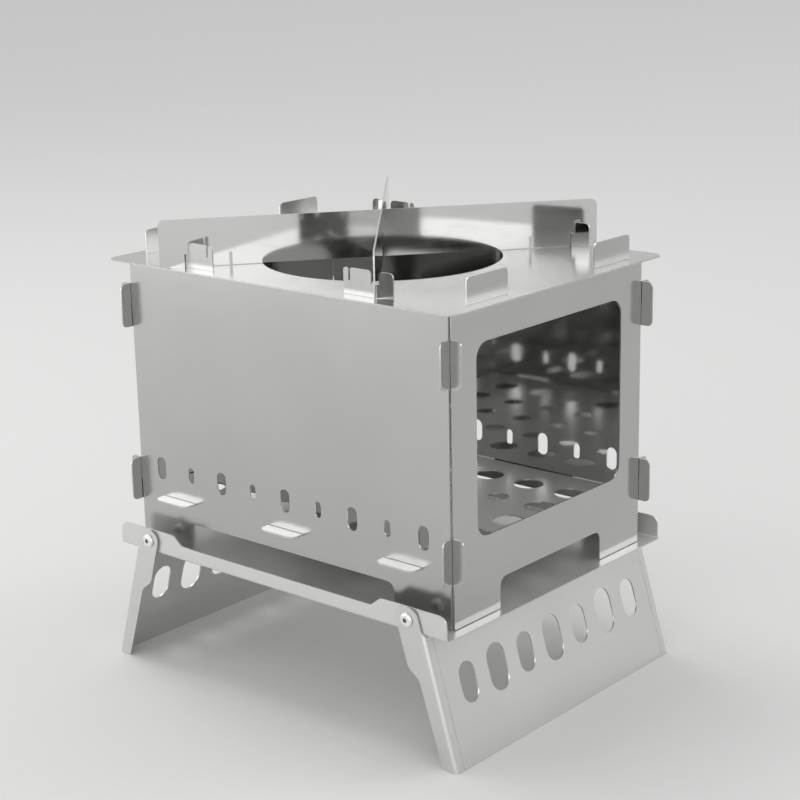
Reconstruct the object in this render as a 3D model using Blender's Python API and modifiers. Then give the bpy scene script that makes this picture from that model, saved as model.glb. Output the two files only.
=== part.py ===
"""Folding wood stove of laser-cut stainless sheet, standing on two splayed leg frames.

Long side along X, +X towards the end wall with the fuel window, ground at Z = 0. Metres.
"""

import math

import bmesh
import bpy
from mathutils import Matrix

# Sheet and fits
SHEET = 0.001  # thickness of every cut piece
TOUCH = 0.0003  # gap between pieces that rest on each other
FOOT_GAP = 0.0005  # from the tray's floor to the walls' lower edges
PLAY = 0.0003  # each side of a sheet in its slit, or of a tab in its slot
WELD = 0.00001  # distance under which points of one piece are joined

# Walls, measured to the middle of the sheet and up from their feet
END_WALL_X = 0.140
LONG_WALL_Y = 0.102
WALL_HEIGHT = 0.200
WALL_TOP_CORNER = 0.002
FOOT_CORNER = 0.001
CUTOUT_HEIGHT = 0.0205
CUTOUT_CORNER = 0.006
LONG_CUTOUT = 0.186
END_CUTOUT = 0.110

# Fuel window
WINDOW_WIDTH = 0.155
WINDOW_BOTTOM = 0.0525
WINDOW_HEIGHT = 0.124
WINDOW_CORNER = 0.010

# Hooks where the walls cross at the corners
EDGE_GAP = 0.0005  # from a wall's end to the inner face of the wall it meets
HOOK_HEIGHT = 0.030
HOOK_LEVELS = (0.1687, 0.0448)
HOOK_REACH = 0.0085  # past the outer face of the wall it crosses
HOOK_CORNER = 0.0035

# Tabs on the walls' top edges
TAB_LENGTH = 0.040
TAB_HEIGHT = 0.018
TAB_CORNER = 0.003
LONG_TAB_X = 0.0775
END_TAB_Y = 0.066

# Notches in the long walls' tabs, which hold the pot supports
NOTCH_DEPTH = 0.008
NARROW_NOTCH_INSET = 0.0047  # from the tab's inner end to the notch's middle
NARROW_NOTCH = 0.0017
WIDE_NOTCH_INSET = 0.0256
WIDE_NOTCH = 0.0065
NOTCH_CORNER = 0.001

# Vents in the long walls
VENT_COUNT = 9
VENT_PITCH = 0.0295
VENT_LEVEL = 0.0555
TALL_VENT = (0.0085, 0.016)
SHORT_VENT = (0.0052, 0.011)

# Fire grate
GRATE_LEVEL = 0.035  # underside, above the walls' feet
GRATE_SIDE_GAP = 0.0015
GRATE_TAB_COUNT = 3
GRATE_TAB_PITCH = 0.101
GRATE_TAB_WIDTH = 0.031
GRATE_TAB_REACH = 0.010  # past the wall's outer face
GRATE_TAB_CORNER = 0.005
GRATE_COLUMNS = 7
GRATE_ROWS = 5
GRATE_HOLE_PITCH = 0.035
GRATE_OUTER_HOLE = 0.0215
GRATE_INNER_HOLE = 0.0155

# Top plate
TOP_OVERHANG = 0.011  # past the middle of the walls
TOP_CORNER = 0.0085
POT_HOLE = 0.162

# Pot supports
SUPPORT_LENGTH = 0.298
SUPPORT_HEIGHT = 0.0316
SUPPORT_CORNER = 0.004
SUPPORT_SLIT_DEPTH = 0.0086
SPARE_SLIT = 0.002

# Tray
TRAY_FLOOR_Z = 0.085
TRAY_OVERHANG = 0.008  # past the middle of the end walls
GUTTER = 0.0137  # between a long wall and the flange beside it
FLANGE_HEIGHT = 0.0092  # above the tray's floor
EAR_HEIGHT = 0.0154
EAR_LENGTH = 0.054
FLANGE_INSET = 0.001  # the flanges end this much before the floor
EAR_STEP = 0.008
EAR_STEP_RADIUS = 0.004
EAR_CORNER = 0.006
TRAY_BEND = 0.001  # inside radius

# Rivets that the legs turn on
RIVET_INSET = 0.0308  # from the tray's end
RIVET_LEVEL = 0.0077  # above the tray's floor
SHANK_RADIUS = 0.0024
HEAD_RADIUS = 0.00475
HEAD_THICKNESS = 0.0017
HEAD_RIM = 0.0005
BORE_RADIUS = 0.0016
BULGE_RADIUS = 0.0045
BULGE_LENGTH = 0.0022
PIN_RADIUS = 0.0013
PIN_RECESS = 0.0006
PIN_HEAD_RADIUS = 0.0022
PIN_HEAD_LENGTH = 0.0009
WASHER_RADIUS = 0.005
WASHER_THICKNESS = 0.0005

# Leg frames
LEG_SPLAY = math.radians(16.6)
FOLDED_GAP = 0.0008  # between the tray and a folded leg
LEG_BEND = 0.002  # inside radius
LEG_EAR_RADIUS = 0.0086
CHEEK_WIDE_DEPTH = 0.030  # below the pivot, where the cheek starts to narrow
CHEEK_STEP_DEPTH = 0.039
CHEEK_STEP_OUT = -0.002
CHEEK_FOOT_OUT = -0.0005
CHEEK_STEP_RADIUS = 0.008
CHEEK_NECK_RADIUS = 0.004  # where the ear runs into the plate's top edge
LEG_VENT_COUNT = 7
LEG_VENT_PITCH = 0.0297
LEG_VENT_DEPTH = 0.0502
TALL_LEG_VENT = (0.0185, 0.0314)
SHORT_LEG_VENT = (0.0156, 0.0268)

# Sizes that follow from the ones above
HALF_SHEET = SHEET / 2
WALL_FOOT_Z = TRAY_FLOOR_Z + FOOT_GAP
WALL_TOP_Z = WALL_FOOT_Z + WALL_HEIGHT
GRATE_Z = WALL_FOOT_Z + GRATE_LEVEL
TOP_PLATE_Z = WALL_TOP_Z + TOUCH
TAB_TOP = WALL_HEIGHT + TAB_HEIGHT
NOTCH_FLOOR = TAB_TOP - NOTCH_DEPTH
SUPPORT_Z = WALL_FOOT_Z + NOTCH_FLOOR + TOUCH - SUPPORT_SLIT_DEPTH
CROSSING_X = LONG_TAB_X - TAB_LENGTH / 2 + WIDE_NOTCH_INSET
SUPPORT_ANGLE = math.atan2(LONG_WALL_Y, CROSSING_X)
TRAY_END_X = END_WALL_X + TRAY_OVERHANG
FLANGE_Y = LONG_WALL_Y + HALF_SHEET + GUTTER + SHEET
PIVOT_X = TRAY_END_X - RIVET_INSET
PIVOT_Z = TRAY_FLOOR_Z + RIVET_LEVEL
CHEEK_OFFSET = 2 * TOUCH + WASHER_THICKNESS  # from the flange to the cheek
CHEEK_Y = FLANGE_Y + CHEEK_OFFSET + SHEET
LEG_PLATE_OUT = RIVET_LEVEL + SHEET + FOLDED_GAP + SHEET
CUT_MARGIN = 0.005  # how far cutters run past what they cut

STEEL = (0.60, 0.60, 0.58)
FINISHES = {
    "mirror": (STEEL, 0.12),
    "satin": (STEEL, 0.34),
    "rivet": ((0.82, 0.82, 0.80), 0.25),
    "pin": ((0.30, 0.30, 0.30), 0.40),
}


def clear_scene():
    for existing in list(bpy.data.objects):
        bpy.data.objects.remove(existing)


def new_collection(name):
    collection = bpy.data.collections.new(name)
    bpy.context.scene.collection.children.link(collection)
    return collection


def finish(piece, kind):
    colour, roughness = FINISHES[kind]
    material = bpy.data.materials.new(piece.name + "_" + kind)
    material.use_nodes = True
    shader = material.node_tree.nodes["Principled BSDF"]
    shader.inputs["Base Color"].default_value = (*colour, 1.0)
    shader.inputs["Metallic"].default_value = 1.0
    shader.inputs["Roughness"].default_value = roughness
    piece.data.materials.clear()
    piece.data.materials.append(material)


def arc(centre, radius, start, end, steps):
    angles = (start + (end - start) * i / steps for i in range(steps + 1))
    return [(centre[0] + radius * math.cos(a), centre[1] + radius * math.sin(a)) for a in angles]


def circle(centre, radius, steps):
    return arc(centre, radius, 0, math.tau, steps)[:-1]


def oblong(centre, size, steps=7):
    """Upright slot with half-round ends."""
    radius = size[0] / 2
    rise = size[1] / 2 - radius
    upper = arc((centre[0], centre[1] + rise), radius, 0, math.pi, steps)
    lower = arc((centre[0], centre[1] - rise), radius, math.pi, math.tau, steps)
    return upper + lower


def rounded_corner(before, corner, after, radius, steps):
    """Points of the arc that replaces a corner."""
    into = math.atan2(corner[1] - before[1], corner[0] - before[0])
    out = math.atan2(after[1] - corner[1], after[0] - corner[0])
    turn = (out - into + math.pi) % math.tau - math.pi
    side = math.copysign(1, turn)
    reach = radius * math.tan(abs(turn) / 2)
    start = (corner[0] - reach * math.cos(into), corner[1] - reach * math.sin(into))
    centre = (start[0] - side * radius * math.sin(into), start[1] + side * radius * math.cos(into))
    first = into - side * math.pi / 2
    return arc(centre, radius, first, first + turn, steps)


def rounded(corners, steps=4):
    """Closed outline from corners of (x, y, radius)."""
    points = []
    for i, (x, y, radius) in enumerate(corners):
        if radius > 0:
            after = corners[(i + 1) % len(corners)]
            points += rounded_corner(corners[i - 1], (x, y), after, radius, steps)
        else:
            points.append((x, y))
    return points


def both_sides(half):
    """Whole outline from the corners of its +X half, listed from the top's middle downwards."""
    return half + [(-x, y, radius) for x, y, radius in reversed(half)]


def rectangle(centre, size, radius=0.0):
    x, y = centre
    w, h = size[0] / 2, size[1] / 2
    return rounded([(x + w, y + h, radius), (x + w, y - h, radius), (x - w, y - h, radius), (x - w, y + h, radius)])


def slab(name, collection, outlines, thickness):
    """Flat piece from a filled 2D outline and its holes, with its middle at local Z = 0."""
    curve = bpy.data.curves.new(name, "CURVE")
    curve.dimensions = "2D"
    curve.fill_mode = "BOTH"
    curve.extrude = thickness / 2
    for outline in outlines:
        spline = curve.splines.new("POLY")
        spline.points.add(len(outline) - 1)
        for point, (x, y) in zip(spline.points, outline):
            point.co = (x, y, 0.0, 1.0)
        spline.use_cyclic_u = True
    source = bpy.data.objects.new(name, curve)
    collection.objects.link(source)
    depsgraph = bpy.context.evaluated_depsgraph_get()
    mesh = bpy.data.meshes.new_from_object(source.evaluated_get(depsgraph))
    bpy.data.objects.remove(source)
    shape = bmesh.new()
    shape.from_mesh(mesh)
    bmesh.ops.remove_doubles(shape, verts=shape.verts, dist=WELD)
    bmesh.ops.recalc_face_normals(shape, faces=shape.faces)
    shape.to_mesh(mesh)
    shape.free()
    mesh.name = name
    piece = bpy.data.objects.new(name, mesh)
    collection.objects.link(piece)
    return piece


def turned_mesh(name, profile, closed):
    """Half profile of (radius, height) points for a Screw modifier."""
    points = [(radius, 0.0, height) for radius, height in profile]
    edges = [(i, i + 1) for i in range(len(points) - 1)]
    if closed:
        edges.append((len(points) - 1, 0))
    mesh = bpy.data.meshes.new(name)
    mesh.from_pydata(points, edges, [])
    return mesh


def turned(name, collection, mesh, steps):
    piece = bpy.data.objects.new(name, mesh)
    collection.objects.link(piece)
    screw = piece.modifiers.new("Turn", "SCREW")
    screw.angle = math.tau
    screw.steps = steps
    screw.render_steps = steps
    screw.use_merge_vertices = True
    screw.merge_threshold = WELD
    return piece


def boolean(piece, cutter, operation):
    cutter.parent = piece
    cutter.hide_render = True
    cutter.display_type = "WIRE"
    modifier = piece.modifiers.new(cutter.name, "BOOLEAN")
    modifier.operation = operation
    modifier.solver = "EXACT"
    modifier.object = cutter


def cross_cylinder(name, collection, radius, length, x, z):
    """Cutter along Y for a pair of pivot holes."""
    shape = bmesh.new()
    turn = Matrix.Translation((x, 0, z)) @ Matrix.Rotation(math.pi / 2, 4, "X")
    bmesh.ops.create_cone(
        shape, cap_ends=True, segments=24, radius1=radius, radius2=radius, depth=length, matrix=turn
    )
    mesh = bpy.data.meshes.new(name)
    shape.to_mesh(mesh)
    shape.free()
    cutter = bpy.data.objects.new(name, mesh)
    collection.objects.link(cutter)
    return cutter


def hook(edge, level, opens_down):
    """Corners of one hook on the +X end of a wall, listed downwards.

    The slit lies against the wall's end edge, and the crossing wall's hook fills it.
    """
    outer_face = edge + EDGE_GAP + SHEET
    slit_end = outer_face + PLAY
    tip = outer_face + HOOK_REACH
    top = level + HOOK_HEIGHT / 2
    bottom = level - HOOK_HEIGHT / 2
    outside = [(tip, top, HOOK_CORNER), (tip, bottom, HOOK_CORNER)]
    if opens_down:
        seat = level + TOUCH / 2
        slit = [(slit_end, bottom, 0), (slit_end, seat, 0), (edge, seat, 0)]
        return [(edge, top, 0)] + outside + slit
    seat = level - TOUCH / 2
    slit = [(edge, seat, 0), (slit_end, seat, 0), (slit_end, top, 0)]
    return slit + outside + [(edge, bottom, 0)]


def wall_end(edge, cutout, opens_down):
    """Corners from a wall's top corner down to the cut-out between its feet."""
    corners = [(edge, WALL_HEIGHT, WALL_TOP_CORNER)]
    for level in HOOK_LEVELS:
        corners += hook(edge, level, opens_down)
    corners.append((edge, 0, FOOT_CORNER))
    corners.append((cutout / 2, 0, FOOT_CORNER))
    corners.append((cutout / 2, CUTOUT_HEIGHT, CUTOUT_CORNER))
    return corners


def notch(middle, width, inner_corner, outer_corner):
    """Corners of one notch in a tab's top edge, listed outwards."""
    return [
        (middle - width / 2, TAB_TOP, inner_corner),
        (middle - width / 2, NOTCH_FLOOR, 0),
        (middle + width / 2, NOTCH_FLOOR, 0),
        (middle + width / 2, TAB_TOP, outer_corner),
    ]


def long_wall_outline():
    inner = LONG_TAB_X - TAB_LENGTH / 2
    outer = LONG_TAB_X + TAB_LENGTH / 2
    narrow = inner + NARROW_NOTCH_INSET
    finger_corner = 0.49 * (narrow - NARROW_NOTCH / 2 - inner)
    half = [(inner, WALL_HEIGHT, 0), (inner, TAB_TOP, finger_corner)]
    half += notch(narrow, NARROW_NOTCH, finger_corner, NOTCH_CORNER)
    half += notch(CROSSING_X, WIDE_NOTCH, TAB_CORNER, 2 * NOTCH_CORNER)
    half += [(outer, TAB_TOP, TAB_CORNER), (outer, WALL_HEIGHT, 0)]
    half += wall_end(END_WALL_X - HALF_SHEET - EDGE_GAP, LONG_CUTOUT, True)
    return rounded(both_sides(half))


def end_wall_outline():
    inner = END_TAB_Y - TAB_LENGTH / 2
    outer = END_TAB_Y + TAB_LENGTH / 2
    half = [(inner, WALL_HEIGHT, 0), (inner, TAB_TOP, TAB_CORNER)]
    half += [(outer, TAB_TOP, TAB_CORNER), (outer, WALL_HEIGHT, 0)]
    half += wall_end(LONG_WALL_Y - HALF_SHEET - EDGE_GAP, END_CUTOUT, False)
    return rounded(both_sides(half))


def alternating(count, pitch, level, tall, short):
    """A row of upright slots, tall and short by turns, tall at the ends if tall comes first."""
    row = []
    for i in range(count):
        x = (i - (count - 1) / 2) * pitch
        row.append(oblong((x, level), tall if i % 2 == 0 else short))
    return row


def grate_tab_places():
    return [(i - (GRATE_TAB_COUNT - 1) / 2) * GRATE_TAB_PITCH for i in range(GRATE_TAB_COUNT)]


def make_long_wall(name, collection, y):
    slot_level = GRATE_LEVEL + HALF_SHEET
    slot = (GRATE_TAB_WIDTH + 2 * PLAY, SHEET + 2 * PLAY)
    holes = alternating(VENT_COUNT, VENT_PITCH, VENT_LEVEL, TALL_VENT, SHORT_VENT)
    holes += [rectangle((x, slot_level), slot) for x in grate_tab_places()]
    wall = slab(name, collection, [long_wall_outline()] + holes, SHEET)
    wall.rotation_euler = (math.pi / 2, 0, 0)
    wall.location = (0, y, WALL_FOOT_Z)
    finish(wall, "mirror")


def make_end_wall(name, collection, x, has_window):
    outlines = [end_wall_outline()]
    if has_window:
        middle = (0, WINDOW_BOTTOM + WINDOW_HEIGHT / 2)
        outlines.append(rectangle(middle, (WINDOW_WIDTH, WINDOW_HEIGHT), WINDOW_CORNER))
    wall = slab(name, collection, outlines, SHEET)
    wall.rotation_euler = (math.pi / 2, 0, math.pi / 2)
    wall.location = (x, 0, WALL_FOOT_Z)
    finish(wall, "mirror")


def grate_side(x, y):
    """Corners of one long side of the grate from +X to -X, tabs included."""
    tip = LONG_WALL_Y + HALF_SHEET + GRATE_TAB_REACH
    w = GRATE_TAB_WIDTH / 2
    corners = [(x, y, FOOT_CORNER)]
    for middle in reversed(grate_tab_places()):
        corners += [(middle + w, y, 0), (middle + w, tip, GRATE_TAB_CORNER)]
        corners += [(middle - w, tip, GRATE_TAB_CORNER), (middle - w, y, 0)]
    corners.append((-x, y, FOOT_CORNER))
    return corners


def make_grate(collection):
    x = END_WALL_X - HALF_SHEET - GRATE_SIDE_GAP
    y = LONG_WALL_Y - HALF_SHEET - GRATE_SIDE_GAP
    back = grate_side(x, y)
    front = [(cx, -cy, radius) for cx, cy, radius in reversed(back)]
    holes = []
    for column in range(GRATE_COLUMNS):
        for row in range(GRATE_ROWS):
            on_rim = column in (0, GRATE_COLUMNS - 1) or row in (0, GRATE_ROWS - 1)
            diameter = GRATE_OUTER_HOLE if on_rim else GRATE_INNER_HOLE
            middle = (
                (column - (GRATE_COLUMNS - 1) / 2) * GRATE_HOLE_PITCH,
                (row - (GRATE_ROWS - 1) / 2) * GRATE_HOLE_PITCH,
            )
            holes.append(circle(middle, diameter / 2, 20 if on_rim else 16))
    grate = slab("fire_grate", collection, [rounded(back + front)] + holes, SHEET)
    grate.location = (0, 0, GRATE_Z + HALF_SHEET)
    finish(grate, "satin")


def make_top_plate(collection):
    size = (2 * (END_WALL_X + TOP_OVERHANG), 2 * (LONG_WALL_Y + TOP_OVERHANG))
    outlines = [rectangle((0, 0), size, TOP_CORNER), circle((0, 0), POT_HOLE / 2, 72)]
    along = TAB_LENGTH + 2 * PLAY
    across = SHEET + 2 * PLAY
    for x_side in (-1, 1):
        for y_side in (-1, 1):
            outlines.append(rectangle((x_side * LONG_TAB_X, y_side * LONG_WALL_Y), (along, across)))
            outlines.append(rectangle((x_side * END_WALL_X, y_side * END_TAB_Y), (across, along)))
    plate = slab("top_plate", collection, outlines, SHEET)
    plate.location = (0, 0, TOP_PLATE_Z + HALF_SHEET)
    finish(plate, "satin")


def slit_from_below(middle, width, top):
    """Corners of a slit in a support's lower edge, listed towards -X."""
    w = width / 2
    return [(middle + w, 0, 0), (middle + w, top, 0), (middle - w, top, 0), (middle - w, 0, 0)]


def crossing_width(angle):
    """Slit that a sheet crossing at this angle passes through, with play at both sides."""
    return SHEET / math.sin(angle) + SHEET / abs(math.tan(angle)) + 2 * PLAY


def make_pot_support(name, collection, angle, lapped_from_below):
    end = SUPPORT_LENGTH / 2
    wall_slit = crossing_width(SUPPORT_ANGLE)
    crossing = math.hypot(CROSSING_X, LONG_WALL_Y)
    lap_slit = crossing_width(math.pi - 2 * SUPPORT_ANGLE)
    lap = SUPPORT_HEIGHT / 2
    upper = [(end, SUPPORT_HEIGHT, SUPPORT_CORNER)]
    lower = slit_from_below(crossing, wall_slit, SUPPORT_SLIT_DEPTH)
    lower += slit_from_below(LONG_WALL_Y, SPARE_SLIT, SUPPORT_SLIT_DEPTH)
    half = upper + [(end, 0, FOOT_CORNER)] + lower
    if lapped_from_below:
        half += slit_from_below(0, lap_slit, lap + TOUCH / 2)[:2]
    else:
        half = [(lap_slit / 2, lap - TOUCH / 2, 0), (lap_slit / 2, SUPPORT_HEIGHT, 0)] + half
    support = slab(name, collection, [rounded(both_sides(half))], SHEET)
    support.rotation_euler = (math.pi / 2, 0, angle)
    support.location = (0, 0, SUPPORT_Z)
    finish(support, "satin")


def channel_outline(half_width, depth, tip, bend):
    """U section: web at Y = depth, arms from there to Y = tip, bend as the inside radius."""
    inside = half_width - SHEET
    step = math.copysign(SHEET, tip - depth)
    outer = [(half_width, tip, 0), (half_width, depth, bend + SHEET)]
    inner = [(inside, tip, 0), (inside, depth + step, bend)]
    outer += [(-x, y, radius) for x, y, radius in reversed(outer)]
    inner += [(-x, y, radius) for x, y, radius in reversed(inner)]
    return rounded(outer + inner[::-1], 8)


def tray_side_outline():
    """Side view that trims the flanges to low middles and raised ears."""
    start = TRAY_END_X - EAR_LENGTH
    end = TRAY_END_X - FLANGE_INSET
    half = [
        (start - EAR_STEP, TRAY_FLOOR_Z + FLANGE_HEIGHT, EAR_STEP_RADIUS),
        (start, TRAY_FLOOR_Z + EAR_HEIGHT, EAR_STEP_RADIUS),
        (end, TRAY_FLOOR_Z + EAR_HEIGHT, EAR_CORNER),
        (end, TRAY_FLOOR_Z + TOUCH, 0),
        (TRAY_END_X, TRAY_FLOOR_Z + TOUCH, 0),
        (TRAY_END_X, TRAY_FLOOR_Z - SHEET - CUT_MARGIN, 0),
    ]
    return rounded(both_sides(half))


def make_tray(collection, cutters):
    floor = TRAY_FLOOR_Z - SHEET
    section = channel_outline(FLANGE_Y, floor, TRAY_FLOOR_Z + EAR_HEIGHT + CUT_MARGIN, TRAY_BEND)
    tray = slab("tray", collection, [section], 2 * (TRAY_END_X + CUT_MARGIN))
    tray.data.transform(Matrix.Rotation(math.pi / 2, 4, "Z") @ Matrix.Rotation(math.pi / 2, 4, "X"))
    width = 2 * (FLANGE_Y + CUT_MARGIN)
    side = slab("tray_side_cutter", cutters, [tray_side_outline()], width)
    side.data.transform(Matrix.Rotation(math.pi / 2, 4, "X"))
    boolean(tray, side, "INTERSECT")
    for label, x in (("window", PIVOT_X), ("closed", -PIVOT_X)):
        name = "tray_hole_cutter_" + label
        boolean(tray, cross_cylinder(name, cutters, SHANK_RADIUS + TOUCH, width, x, PIVOT_Z), "DIFFERENCE")
    finish(tray, "satin")


def depth_at(out, height):
    """Distance down a splayed leg from its pivot where it passes a height above the ground."""
    return (PIVOT_Z - height + out * math.sin(LEG_SPLAY)) / math.cos(LEG_SPLAY)


def leg_side_outline(plate_top):
    """Side view of a leg: ear round the pivot, cheek that narrows, foot cut level with the ground.

    X points out of the stove across the plate and Y up along it, from the pivot.
    """
    ear = arc((0, 0), LEG_EAR_RADIUS, math.pi, 0, 16)
    edge = LEG_PLATE_OUT + CUT_MARGIN
    corners = [
        (LEG_EAR_RADIUS, -plate_top, CHEEK_NECK_RADIUS),
        (edge, -plate_top, 0),
        (edge, -depth_at(edge, 0), 0),
        (CHEEK_FOOT_OUT, -depth_at(CHEEK_FOOT_OUT, 0), 0),
        (CHEEK_STEP_OUT, -CHEEK_STEP_DEPTH, CHEEK_STEP_RADIUS),
        (-LEG_EAR_RADIUS, -CHEEK_WIDE_DEPTH, CHEEK_STEP_RADIUS),
    ]
    first = (LEG_EAR_RADIUS, 0, 0)
    last = (-LEG_EAR_RADIUS, 0, 0)
    return ear[:-1] + rounded([first] + corners + [last])[:-1]


def make_leg(name, collection, cutters, x, turn):
    length = depth_at(LEG_PLATE_OUT, 0) + LEG_EAR_RADIUS + 2 * CUT_MARGIN
    section = channel_outline(CHEEK_Y, LEG_PLATE_OUT, -LEG_EAR_RADIUS - CUT_MARGIN, LEG_BEND)
    leg = slab(name, collection, [section], length)
    drop = LEG_EAR_RADIUS + CUT_MARGIN - length / 2
    leg.data.transform(Matrix.Translation((0, 0, drop)) @ Matrix.Rotation(-math.pi / 2, 4, "Z"))
    width = 2 * (CHEEK_Y + CUT_MARGIN)
    plate_top = depth_at(LEG_PLATE_OUT, TRAY_FLOOR_Z - SHEET - TOUCH)
    side = slab(name + "_side_cutter", cutters, [leg_side_outline(plate_top)], width)
    side.data.transform(Matrix.Rotation(math.pi / 2, 4, "X"))
    boolean(leg, side, "INTERSECT")
    above = rectangle((LEG_PLATE_OUT, CUT_MARGIN - plate_top), (2 * (LEG_BEND + SHEET), 2 * CUT_MARGIN))
    top = slab(name + "_top_cutter", cutters, [above], 2 * (FLANGE_Y + TOUCH))
    top.data.transform(Matrix.Rotation(math.pi / 2, 4, "X"))
    boolean(leg, top, "DIFFERENCE")
    row = alternating(
        LEG_VENT_COUNT, LEG_VENT_PITCH, -LEG_VENT_DEPTH, SHORT_LEG_VENT, TALL_LEG_VENT
    )
    vents = slab(name + "_vent_cutter", cutters, row, 2 * (SHEET + CUT_MARGIN))
    upright = Matrix.Rotation(math.pi / 2, 4, "Z") @ Matrix.Rotation(math.pi / 2, 4, "X")
    vents.data.transform(Matrix.Translation((LEG_PLATE_OUT - HALF_SHEET, 0, 0)) @ upright)
    boolean(leg, vents, "DIFFERENCE")
    pivot = cross_cylinder(name + "_pivot_cutter", cutters, SHANK_RADIUS + TOUCH, width, 0, 0)
    boolean(leg, pivot, "DIFFERENCE")
    leg.location = (x, 0, PIVOT_Z)
    leg.rotation_euler = (0, -LEG_SPLAY, turn)
    finish(leg, "satin")


def rivet_profile():
    """Closed half profile of a blind rivet; height 0 is the flange's outer face."""
    seat = CHEEK_OFFSET + SHEET + TOUCH
    top = seat + HEAD_THICKNESS
    back = -SHEET - TOUCH
    dome = HEAD_THICKNESS - HEAD_RIM
    flat = HEAD_RADIUS / 2
    head = [(BORE_RADIUS, top)]
    for i in range(5):
        a = math.pi / 2 * i / 4
        head.append((flat + (HEAD_RADIUS - flat) * math.sin(a), top - dome + dome * math.cos(a)))
    shank = [(HEAD_RADIUS, seat), (SHANK_RADIUS, seat), (SHANK_RADIUS, back)]
    bulge = []
    for i in range(5):
        a = math.pi / 2 * i / 4
        swell = SHANK_RADIUS + (BULGE_RADIUS - SHANK_RADIUS) * math.cos(a)
        bulge.append((swell, back - BULGE_LENGTH * math.sin(a)))
    return head + shank + bulge + [(BORE_RADIUS, back - BULGE_LENGTH)]


def pin_profile():
    """Half profile of the broken-off pulling pin inside a rivet."""
    top = CHEEK_OFFSET + SHEET + TOUCH + HEAD_THICKNESS - PIN_RECESS
    seat = -SHEET - 2 * TOUCH - BULGE_LENGTH
    stem = [(0, top), (PIN_RADIUS, top), (PIN_RADIUS, seat), (PIN_HEAD_RADIUS, seat)]
    head = []
    for i in range(4):
        a = math.pi / 2 * i / 4
        head.append((PIN_HEAD_RADIUS * math.cos(a), seat - PIN_HEAD_LENGTH * (1 + math.sin(a)) / 2))
    return stem + head + [(0, seat - PIN_HEAD_LENGTH)]


def washer_profile():
    low = TOUCH
    high = TOUCH + WASHER_THICKNESS
    bore = SHANK_RADIUS + TOUCH
    return [(WASHER_RADIUS, high), (WASHER_RADIUS, low), (bore, low), (bore, high)]


def make_rivets(collection):
    kinds = (
        ("rivet", turned_mesh("rivet", rivet_profile(), True), "rivet", 24),
        ("rivet_pin", turned_mesh("rivet_pin", pin_profile(), False), "pin", 12),
        ("washer", turned_mesh("washer", washer_profile(), True), "satin", 24),
    )
    for end, x in (("window", PIVOT_X), ("closed", -PIVOT_X)):
        for side, y in (("front", -FLANGE_Y), ("back", FLANGE_Y)):
            for label, mesh, kind, steps in kinds:
                piece = turned(f"{label}_{side}_{end}", collection, mesh, steps)
                piece.location = (x, y, PIVOT_Z)
                piece.rotation_euler = (math.copysign(math.pi / 2, -y), 0, 0)
                finish(piece, kind)


def main():
    clear_scene()
    stove = new_collection("tent_stove")
    cutters = new_collection("tent_stove_cutters")
    make_tray(stove, cutters)
    make_leg("leg_frame_window_end", stove, cutters, PIVOT_X, 0)
    make_leg("leg_frame_closed_end", stove, cutters, -PIVOT_X, math.pi)
    make_rivets(stove)
    make_end_wall("end_wall_window", stove, END_WALL_X, True)
    make_end_wall("end_wall_closed", stove, -END_WALL_X, False)
    make_long_wall("long_wall_front", stove, -LONG_WALL_Y)
    make_long_wall("long_wall_back", stove, LONG_WALL_Y)
    make_grate(stove)
    make_top_plate(stove)
    make_pot_support("pot_support_lower", stove, math.pi - SUPPORT_ANGLE, False)
    make_pot_support("pot_support_upper", stove, SUPPORT_ANGLE, True)


main()
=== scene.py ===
import math
import bpy
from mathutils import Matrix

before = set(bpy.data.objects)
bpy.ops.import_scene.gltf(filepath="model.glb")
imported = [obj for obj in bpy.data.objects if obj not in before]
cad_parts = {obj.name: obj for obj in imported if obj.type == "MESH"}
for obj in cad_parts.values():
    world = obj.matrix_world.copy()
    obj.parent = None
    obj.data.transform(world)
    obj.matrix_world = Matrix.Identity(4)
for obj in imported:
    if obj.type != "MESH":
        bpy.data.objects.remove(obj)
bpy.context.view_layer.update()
print("frame loaded:", len(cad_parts), "nodes")


def addNode(tree, kind, **settings):
    node = tree.nodes.new("ShaderNode" + kind)
    for key, value in settings.items():
        setattr(node, key, value)
    return node


# camera, placed where the photograph was taken from
cameraView = {
    "place": (0.8002, -0.9143, 0.5240),
    "turn": (74.463, 1.140, 40.417),    # degrees
    "lens": 82.54,                      # mm
    "sensor": 36.0,                     # mm
    "farthest": 200.0,
}


def makeCamera():
    lensData = bpy.data.cameras.new("viewCamera")
    lensData.lens = cameraView["lens"]
    lensData.sensor_width = cameraView["sensor"]
    lensData.clip_end = cameraView["farthest"]
    camera = bpy.data.objects.new("viewCamera", lensData)
    bpy.context.scene.collection.objects.link(camera)
    camera.location = cameraView["place"]
    camera.rotation_euler = [math.radians(a) for a in cameraView["turn"]]
    bpy.context.scene.camera = camera


# plain pale floor
floorLook = {
    "size": 120.0,
    "drop": 0.0002,                     # below the feet, so that no faces coincide
    "tone": (0.70, 0.70, 0.685),
    "roughness": 0.9,
    "gritShade": 0.985,                 # how dark the grit is beside the tone
    "gritScale": 90.0,
    "gritDetail": 4.0,
}


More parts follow.
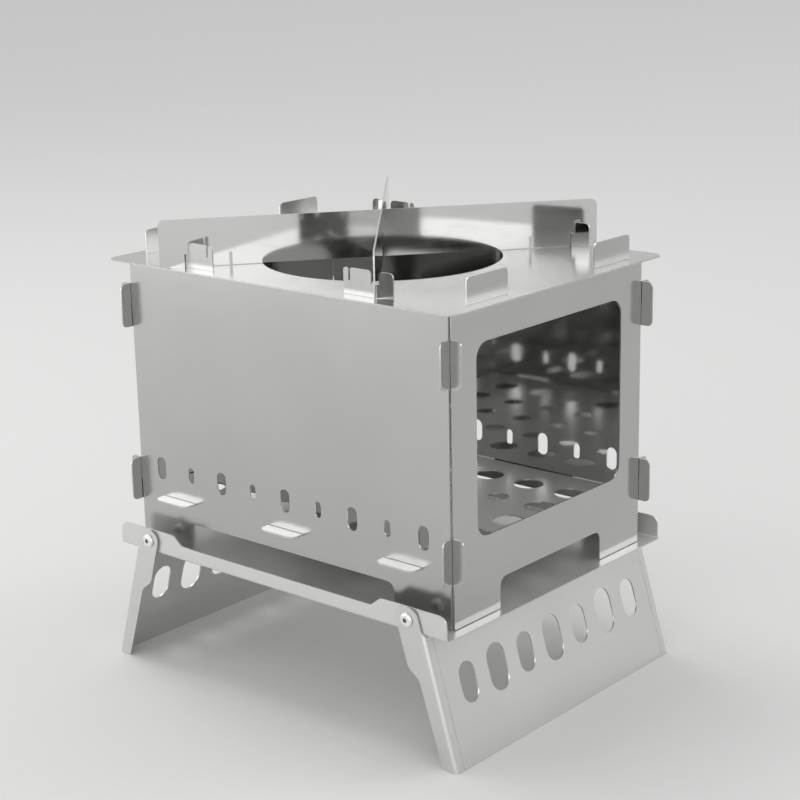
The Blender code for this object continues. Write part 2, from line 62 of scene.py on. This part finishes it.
def makeFloor():
    bpy.ops.mesh.primitive_plane_add(size=floorLook["size"], location=(0, 0, -floorLook["drop"]))
    floor = bpy.context.object
    floor.name = "floor"
    paint = bpy.data.materials.new("paleFloor")
    paint.use_nodes = True
    tree = paint.node_tree
    shader = tree.nodes["Principled BSDF"]
    shader.inputs["Roughness"].default_value = floorLook["roughness"]
    coord = addNode(tree, "TexCoord")
    grit = addNode(tree, "TexNoise")
    grit.inputs["Scale"].default_value = floorLook["gritScale"]
    grit.inputs["Detail"].default_value = floorLook["gritDetail"]
    mix = addNode(tree, "Mix", data_type="RGBA")
    mix.inputs[6].default_value = (*[c * floorLook["gritShade"] for c in floorLook["tone"]], 1)
    mix.inputs[7].default_value = (*floorLook["tone"], 1)
    tree.links.new(coord.outputs["Object"], grit.inputs["Vector"])
    tree.links.new(grit.outputs["Fac"], mix.inputs[0])
    tree.links.new(mix.outputs[2], shader.inputs["Base Color"])
    floor.data.materials.append(paint)


# room around the floor
roomLook = {
    "airTone": (0.90, 0.905, 0.91),     # what the camera and the metal see of the room overhead
    "lowAirTone": (0.62, 0.62, 0.615),  # and near the horizon
    "airLight": (0.76, 0.765, 0.775),   # what the room gives to matt surfaces
    "lowAirHeight": 0.05,               # sine of the angle up to which the low tone holds
    "airHeight": 0.55,                  # and from which the other one does
}


def makeRoom():
    world = bpy.data.worlds.new("room")
    world.use_nodes = True
    bpy.context.scene.world = world
    tree = world.node_tree
    seen = tree.nodes["Background"]
    where = addNode(tree, "TexCoord")
    axes = addNode(tree, "SeparateXYZ")
    rise = addNode(tree, "MapRange", interpolation_type="SMOOTHSTEP")
    rise.inputs["From Min"].default_value = roomLook["lowAirHeight"]
    rise.inputs["From Max"].default_value = roomLook["airHeight"]
    air = addNode(tree, "Mix", data_type="RGBA")
    air.inputs[6].default_value = (*roomLook["lowAirTone"], 1)
    air.inputs[7].default_value = (*roomLook["airTone"], 1)
    tree.links.new(where.outputs["Generated"], axes.inputs["Vector"])
    tree.links.new(axes.outputs["Z"], rise.inputs["Value"])
    tree.links.new(rise.outputs["Result"], air.inputs[0])
    tree.links.new(air.outputs[2], seen.inputs["Color"])
    given = addNode(tree, "Background")
    given.inputs["Color"].default_value = (*roomLook["airLight"], 1)
    rays = addNode(tree, "LightPath")
    cameraOrGlossy = addNode(tree, "Math", operation="ADD")
    anySharp = addNode(tree, "Math", operation="ADD", use_clamp=True)
    choose = addNode(tree, "MixShader")
    tree.links.new(rays.outputs["Is Camera Ray"], cameraOrGlossy.inputs[0])
    tree.links.new(rays.outputs["Is Glossy Ray"], cameraOrGlossy.inputs[1])
    tree.links.new(cameraOrGlossy.outputs[0], anySharp.inputs[0])
    tree.links.new(rays.outputs["Is Transmission Ray"], anySharp.inputs[1])
    tree.links.new(anySharp.outputs[0], choose.inputs[0])
    tree.links.new(given.outputs[0], choose.inputs[1])
    tree.links.new(seen.outputs[0], choose.inputs[2])
    tree.links.new(choose.outputs[0], tree.nodes["World Output"].inputs["Surface"])


# big soft boxes, low enough for the upright sheets to mirror them; azimuth and height in degrees
lampSetup = {
    "front": {"azimuth": -68, "height": 16, "distance": 3.0, "size": (4.9, 1.7), "power": 27},
    "low": {"azimuth": -24.5, "height": 12.6, "distance": 3.0, "size": (0.44, 0.34), "power": 1.15},
    "left": {"azimuth": -134, "height": 13, "distance": 3.0, "size": (1.7, 1.5), "power": 16},
    "right": {"azimuth": 53, "height": 23.8, "distance": 8.0, "size": (4.9, 2.5), "power": 90},
    "over": {"azimuth": 180, "height": 64, "distance": 2.6, "size": (1.2, 1.2), "power": 14},
}


def makeLamps():
    for name, lamp in lampSetup.items():
        lampData = bpy.data.lights.new(name + "Lamp", "AREA")
        lampData.shape = "ELLIPSE"
        lampData.size, lampData.size_y = lamp["size"]
        lampData.energy = lamp["power"]
        lampObject = bpy.data.objects.new(name + "Lamp", lampData)
        bpy.context.scene.collection.objects.link(lampObject)
        turn = math.radians(lamp["azimuth"])
        rise = math.radians(lamp["height"])
        flat = lamp["distance"] * math.cos(rise)
        up = lamp["distance"] * math.sin(rise)
        lampObject.location = (flat * math.cos(turn), flat * math.sin(turn), up)
        lampObject.rotation_euler = (math.radians(90) - rise, 0, turn + math.radians(90))   # faces the stove


makeCamera()
makeFloor()
makeRoom()
makeLamps()
mirrorBounces = 20                      # the sheets mirror each other many times over
bpy.context.scene.view_settings.view_transform = "Standard"
bpy.context.scene.cycles.max_bounces = mirrorBounces
bpy.context.scene.cycles.glossy_bounces = mirrorBounces
print("camera, room and lamps made")


# patterns that all the steel finishes share; perMetre values count waves along X, Y and Z
steelPattern = {
    "noiseRoughness": 0.55,
    "grainMiddle": (0.25, 0.75),        # part of the noise that is used
    "cloudPerMetre": (9, 9, 9), "cloudMiddle": (0.3, 0.7), "cloudTone": (0.97, 1.03),
    "smudgePerMetre": (42, 42, 30), "smudgeMiddle": (0.52, 0.72),
    "scratchLength": 0.6,               # share of the grain's waves per metre
    "scratchTops": (0.70, 0.76), "crossScratchTops": (0.73, 0.78), "crossScratchTurn": 0.45,
    "scratchDent": 10.0,
    "striaePerMetre": (1500, 1500, 1500), "striaeMiddle": (0.3, 0.7), "striaeTone": (0.75, 1.15),
    "edgeTurn": (0.45, 0.75),           # how far a face turns from the sheet's before it counts as cut
    "pressLine": (0.00012, 0.00045), "pressTone": 0.62,
    "pressPerMetre": (160, 160, 160), "pressMiddle": (0.38, 0.62), "pressFade": 0.25,
    "hazeStep": 0.0001,
}
alongX, alongY, alongZ = (1, 0, 0), (0, 1, 0), (0, 0, 1)
anywhere = 9.0                          # reaches past every piece


def grainField(tree, coord, perMetre, turn=0.0, shift=(0, 0, 0), detail=2.0):
    mapping = addNode(tree, "Mapping", vector_type="TEXTURE")
    mapping.inputs["Location"].default_value = shift
    mapping.inputs["Rotation"].default_value = (0, 0, turn)
    mapping.inputs["Scale"].default_value = [1.0 / s for s in perMetre]
    noise = addNode(tree, "TexNoise")
    noise.inputs["Scale"].default_value = 1.0
    noise.inputs["Detail"].default_value = detail
    noise.inputs["Roughness"].default_value = steelPattern["noiseRoughness"]
    tree.links.new(coord, mapping.inputs["Vector"])
    tree.links.new(mapping.outputs["Vector"], noise.inputs["Vector"])
    return noise.outputs["Fac"]


def spread(tree, value, fromRange, toRange):
    node = addNode(tree, "MapRange")
    node.inputs["From Min"].default_value, node.inputs["From Max"].default_value = fromRange
    node.inputs["To Min"].default_value, node.inputs["To Max"].default_value = toRange
    tree.links.new(value, node.inputs["Value"])
    return node.outputs["Result"]


def combine(tree, operation, first, second):
    node = addNode(tree, "Math", operation=operation)
    tree.links.new(first, node.inputs[0])
    if isinstance(second, (int, float)):
        node.inputs[1].default_value = second
    else:
        tree.links.new(second, node.inputs[1])
    return node.outputs[0]


def absolute(tree, value):
    node = addNode(tree, "Math", operation="ABSOLUTE")
    tree.links.new(value, node.inputs[0])
    return node.outputs[0]


def scaled(tree, vector, factor):
    node = addNode(tree, "VectorMath", operation="SCALE")
    node.inputs[0].default_value = vector
    tree.links.new(factor, node.inputs["Scale"])
    return node.outputs["Vector"]


def mixed(tree, kind, share, sockets):  # sockets of the Mix node, each with a value or a link
    node = addNode(tree, "Mix", data_type=kind)
    tree.links.new(share, node.inputs[0])
    for number, given in sockets.items():
        if isinstance(given, float):
            node.inputs[number].default_value = given
        else:
            tree.links.new(given, node.inputs[number])
    return node


def bumped(tree, height, distance):
    node = addNode(tree, "Bump")
    node.inputs["Strength"].default_value = 1.0
    node.inputs["Distance"].default_value = distance
    tree.links.new(height, node.inputs["Height"])
    return node


def outFromMiddle(tree, coord, axis):   # distance from the stove's middle plane across this axis
    axes = addNode(tree, "SeparateXYZ")
    tree.links.new(coord, axes.inputs["Vector"])
    return absolute(tree, axes.outputs[axis])


def hazePast(tree, coord, axis, middle, extra):     # extra roughness farther out than middle
    step = steelPattern["hazeStep"]
    return spread(tree, outFromMiddle(tree, coord, axis), (middle - step, middle + step), (0.0, extra))


def cutEdgeMask(tree, coords, look):    # 1 where a face is the sheet's cut edge
    aside = outFromMiddle(tree, coords.outputs["Object"], "Y")
    mask = combine(tree, "MULTIPLY", aside, 0.0)
    for direction, middle, reach in look["sheetFaces"]:     # in this band of |y| the sheet faces that way
        dot = addNode(tree, "VectorMath", operation="DOT_PRODUCT")
        dot.inputs[1].default_value = direction
        tree.links.new(coords.outputs["Normal"], dot.inputs[0])
        turned = spread(tree, absolute(tree, dot.outputs["Value"]), steelPattern["edgeTurn"], (1.0, 0.0))
        band = combine(tree, "COMPARE", aside, middle)
        band.node.inputs[2].default_value = reach
        mask = combine(tree, "MAXIMUM", mask, combine(tree, "MULTIPLY", turned, band))
    return mask


def pressLine(tree, coord, look):       # thin line that the bending die left beside the bend
    away = absolute(tree, combine(tree, "SUBTRACT", outFromMiddle(tree, coord, "Y"), look["pressMark"]))
    line = spread(tree, away, steelPattern["pressLine"], (1.0, 0.0))
    broken = grainField(tree, coord, steelPattern["pressPerMetre"], shift=(0.2, 0.3, 0.9))
    parts = spread(tree, broken, steelPattern["pressMiddle"], (steelPattern["pressFade"], 1.0))
    return combine(tree, "MULTIPLY", line, parts)


def scratchField(tree, coord, look, scales, turn):
    longScales = [s * steelPattern["scratchLength"] for s in scales]
    crossScales = [longScales[1], longScales[0], longScales[2]]
    streak = grainField(tree, coord, longScales, turn + look["scratchTurn"], shift=(0.33, 0.11, 0.5))
    crossTurn = turn + steelPattern["crossScratchTurn"]
    crossStreak = grainField(tree, coord, crossScales, crossTurn, shift=(0.2, 0.6, 0.8))
    scratches = spread(tree, streak, steelPattern["scratchTops"], (0.0, 1.0))
    crossScratches = spread(tree, crossStreak, steelPattern["crossScratchTops"], (0.0, 1.0))
    return combine(tree, "MAXIMUM", scratches, crossScratches)


def sheetTone(tree, coord, look, grain):
    toneRange = (1.0 - look["grainTone"], 1.0 + look["grainTone"])
    tone = spread(tree, grain, steelPattern["grainMiddle"], toneRange)
    cloud = grainField(tree, coord, steelPattern["cloudPerMetre"], shift=(0.7, 0.2, 0.4))
    patch = spread(tree, cloud, steelPattern["cloudMiddle"], steelPattern["cloudTone"])
    tone = combine(tree, "MULTIPLY", tone, patch)
    if "pressMark" in look:
        mark = spread(tree, pressLine(tree, coord, look), (0.0, 1.0), (1.0, steelPattern["pressTone"]))
        tone = combine(tree, "MULTIPLY", tone, mark)
    return scaled(tree, look["tone"], tone)


def sheetRoughness(tree, coord, look, grain, worn):
    roughRange = (look["roughness"] - look["roughSpread"], look["roughness"] + look["roughSpread"])
    rough = spread(tree, grain, steelPattern["grainMiddle"], roughRange)
    smudge = grainField(tree, coord, steelPattern["smudgePerMetre"], shift=(0.1, 0.9, 0.3), detail=5.0)
    marks = spread(tree, smudge, steelPattern["smudgeMiddle"], (0.0, look["smudge"]))
    rough = combine(tree, "ADD", combine(tree, "ADD", rough, marks), worn)
    for axis, middle, extra in look.get("hazePast", []):
        rough = combine(tree, "ADD", rough, hazePast(tree, coord, axis, middle, extra))
    return rough


def steelMaterial(name, look):
    steel = bpy.data.materials.new(name)
    steel.use_nodes = True
    tree = steel.node_tree
    shader = tree.nodes["Principled BSDF"]
    shader.inputs["Metallic"].default_value = look.get("metallic", 1.0)
    coords = addNode(tree, "TexCoord")
    coord = coords.outputs["Object"]
    turn = look.get("turn", 0.0)
    scales = [look["grainAcross"]] * 3
    scales[look["grainAxis"]] = look["grainAlong"]

    grain = grainField(tree, coord, scales, turn, detail=3.0)
    worn = combine(tree, "MULTIPLY", scratchField(tree, coord, look, scales, turn), look["scratch"])
    tone = sheetTone(tree, coord, look, grain)
    rough = sheetRoughness(tree, coord, look, grain, worn)

    edge = cutEdgeMask(tree, coords, look)
    striae = grainField(tree, coord, steelPattern["striaePerMetre"], shift=(0.4, 0.4, 0.1))
    edgeShade = spread(tree, striae, steelPattern["striaeMiddle"], steelPattern["striaeTone"])
    colour = mixed(tree, "RGBA", edge, {6: tone, 7: scaled(tree, look["cutTone"], edgeShade)})
    tree.links.new(colour.outputs[2], shader.inputs["Base Color"])
    dull = mixed(tree, "FLOAT", edge, {2: rough, 3: look["cutRoughness"]})
    tree.links.new(dull.outputs[0], shader.inputs["Roughness"])

    wave = grainField(tree, coord, (look["wavePerMetre"],) * 3, shift=(0.5, 0.1, 0.2), detail=0.0)
    bend = bumped(tree, wave, look["waveDepth"])
    dents = combine(tree, "SUBTRACT", grain, combine(tree, "MULTIPLY", worn, steelPattern["scratchDent"]))
    fine = bumped(tree, dents, look["grainDepth"])
    tree.links.new(bend.outputs["Normal"], fine.inputs["Normal"])
    tree.links.new(fine.outputs["Normal"], shader.inputs["Normal"])
    return steel


shadeSetup = {
    "weld": 0.00001,                    # metres, under which points are joined
    "sharpAngle": 34,                   # degrees, above which an edge stays sharp
}


def makeShadeGroup():
    group = bpy.data.node_groups.new("joinAndShade", "GeometryNodeTree")
    group.interface.new_socket(name="Geometry", in_out="INPUT", socket_type="NodeSocketGeometry")
    group.interface.new_socket(name="Geometry", in_out="OUTPUT", socket_type="NodeSocketGeometry")
    start = group.nodes.new("NodeGroupInput")
    end = group.nodes.new("NodeGroupOutput")
    weld = group.nodes.new("GeometryNodeMergeByDistance")
    weld.inputs["Distance"].default_value = shadeSetup["weld"]
    smooth = group.nodes.new("GeometryNodeSetShadeSmooth")
    smooth.domain = "FACE"
    angle = group.nodes.new("GeometryNodeInputMeshEdgeAngle")
    steep = group.nodes.new("FunctionNodeCompare")
    steep.data_type = "FLOAT"
    steep.operation = "GREATER_THAN"
    steep.inputs[1].default_value = math.radians(shadeSetup["sharpAngle"])
    sharp = group.nodes.new("GeometryNodeSetShadeSmooth")
    sharp.domain = "EDGE"
    sharp.inputs["Shade Smooth"].default_value = False
    group.links.new(start.outputs[0], weld.inputs["Geometry"])
    group.links.new(weld.outputs["Geometry"], smooth.inputs["Geometry"])
    group.links.new(angle.outputs["Unsigned Angle"], steep.inputs[0])
    group.links.new(steep.outputs["Result"], sharp.inputs["Selection"])
    group.links.new(smooth.outputs["Geometry"], sharp.inputs["Geometry"])
    group.links.new(sharp.outputs["Geometry"], end.inputs[0])
    return group


shadeGroup = makeShadeGroup()


def dress(nodeNames, materialName, look):
    steel = steelMaterial(materialName, look)
    for nodeName in nodeNames:
        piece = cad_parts[nodeName]
        for slot in piece.material_slots:
            slot.material = steel
        join = piece.modifiers.new("joinAndShade", "NODES")
        join.node_group = shadeGroup
    print("dressed:", ", ".join(nodeNames))


# walls, polished so far that they mirror; a hazePast entry is axis, distance and extra roughness
longWallY = 0.102                       # middle of a long wall
endWallX = 0.14                         # middle of an end wall
tabFootZ = 0.2875                       # the tabs stand above this

longWallLook = {
    "tone": (0.50, 0.502, 0.49), "roughness": 0.055, "roughSpread": 0.008,
    "grainAxis": 0, "grainAlong": 6, "grainAcross": 700, "grainTone": 0.008, "grainDepth": 0.0000003,
    "wavePerMetre": 9, "waveDepth": 0.0010, "smudge": 0.025, "scratch": 0.04, "scratchTurn": 0.0,
    "sheetFaces": [(alongY, 0, anywhere)], "cutTone": (0.56, 0.555, 0.54), "cutRoughness": 0.34,
    "hazePast": [("Y", longWallY, 0.17)],           # the outer side
}
dress(["long_wall_front", "long_wall_back"], "polishedWallSheet", longWallLook)

endWallLook = dict(
    longWallLook, grainAxis=1, sheetFaces=[(alongX, 0, anywhere)],
    hazePast=[("X", endWallX, 0.08), ("Z", tabFootZ, 0.15)],
)
dress(["end_wall_window", "end_wall_closed"], "polishedEndSheet", endWallLook)

# flat pieces with a satin finish
topPlateLook = {
    "tone": (0.56, 0.56, 0.55), "roughness": 0.19, "roughSpread": 0.02,
    "grainAxis": 0, "grainAlong": 7, "grainAcross": 600, "grainTone": 0.014, "grainDepth": 0.0000003,
    "wavePerMetre": 8, "waveDepth": 0.0006, "smudge": 0.05, "scratch": 0.04, "scratchTurn": 0.05,
    "sheetFaces": [(alongZ, 0, anywhere)], "cutTone": (0.60, 0.595, 0.575), "cutRoughness": 0.32,
}
dress(["top_plate"], "satinTopSheet", topPlateLook)

grateLook = dict(
    topPlateLook, tone=(0.88, 0.88, 0.865), roughness=0.32, metallic=0.72, grainAxis=1, roughSpread=0.01,
    grainTone=0.006, grainDepth=0.00000005, scratch=0.01,
)
dress(["fire_grate"], "satinGrateSheet", grateLook)

# pot supports, each on a diagonal
crossingX = 0.0831                      # where they cross the long walls
supportAngle = math.atan2(longWallY, crossingX)
supportLook = dict(
    topPlateLook, tone=(0.62, 0.62, 0.61), roughness=0.09, roughSpread=0.012, waveDepth=0.0004, smudge=0.03,
)


def dressSupport(nodeName, materialName, angle):
    facing = (-math.sin(angle), math.cos(angle), 0)
    dress([nodeName], materialName, dict(supportLook, turn=angle, sheetFaces=[(facing, 0, anywhere)]))


dressSupport("pot_support_upper", "upperSupportSheet", supportAngle)
dressSupport("pot_support_lower", "lowerSupportSheet", -supportAngle)

# bent sheets; each band of |y| has its own direction
trayFloorEdge = 0.1145                  # where the tray's bend starts
flangeY = 0.1172
flangeReach = 0.0012
trayLook = {
    "tone": (0.61, 0.61, 0.595), "roughness": 0.30, "roughSpread": 0.008, "metallic": 0.5,
    "grainAxis": 0, "grainAlong": 8, "grainAcross": 600, "grainTone": 0.005, "grainDepth": 0.00000005,
    "wavePerMetre": 8, "waveDepth": 0.0006, "smudge": 0.05, "scratch": 0.01, "scratchTurn": 0.02,
    "sheetFaces": [(alongZ, 0.0, trayFloorEdge), (alongY, flangeY, flangeReach)],
    "cutTone": (0.60, 0.595, 0.575), "cutRoughness": 0.34,
}
dress(["tray"], "satinTraySheet", trayLook)

legSplay = math.radians(16.6)
legPlateEdge = 0.1155                   # where the leg's bend starts
cheekY = 0.119
cheekReach = 0.001
legLook = dict(
    trayLook, tone=(0.67, 0.67, 0.655), roughness=0.29, metallic=0.9, grainAxis=1, roughSpread=0.004,
    smudge=0.0, grainTone=0.012, scratch=0.0, pressMark=0.1118,
)


def dressLeg(nodeName, materialName, side):
    facing = (side * math.cos(legSplay), 0, math.sin(legSplay))
    faces = [(facing, 0, legPlateEdge), (alongY, cheekY, cheekReach)]
    dress([nodeName], materialName, dict(legLook, sheetFaces=faces))


dressLeg("leg_frame_window_end", "satinWindowLegSheet", 1)
dressLeg("leg_frame_closed_end", "satinClosedLegSheet", -1)

# rivets, their pins and washers
corners = ["front_window", "front_closed", "back_window", "back_closed"]
rivetLook = {
    "tone": (0.80, 0.80, 0.785), "roughness": 0.22, "roughSpread": 0.05, "metallic": 0.6,
    "grainAxis": 1, "grainAlong": 300, "grainAcross": 1800, "grainTone": 0.05, "grainDepth": 0.00001,
    "wavePerMetre": 200, "waveDepth": 0.00003, "smudge": 0.08, "scratch": 0.12, "scratchTurn": 0.3,
    "sheetFaces": [], "cutTone": (0.8, 0.8, 0.8), "cutRoughness": 0.3,
}
dress(["rivet_" + corner for corner in corners], "rivetBody", rivetLook)
pinLook = dict(rivetLook, tone=(0.12, 0.118, 0.115), roughness=0.5, roughSpread=0.1)
dress(["rivet_pin_" + corner for corner in corners], "brokenPin", pinLook)
washerLook = dict(rivetLook, tone=(0.60, 0.60, 0.58), roughness=0.30)
dress(["washer_" + corner for corner in corners], "washerRing", washerLook)
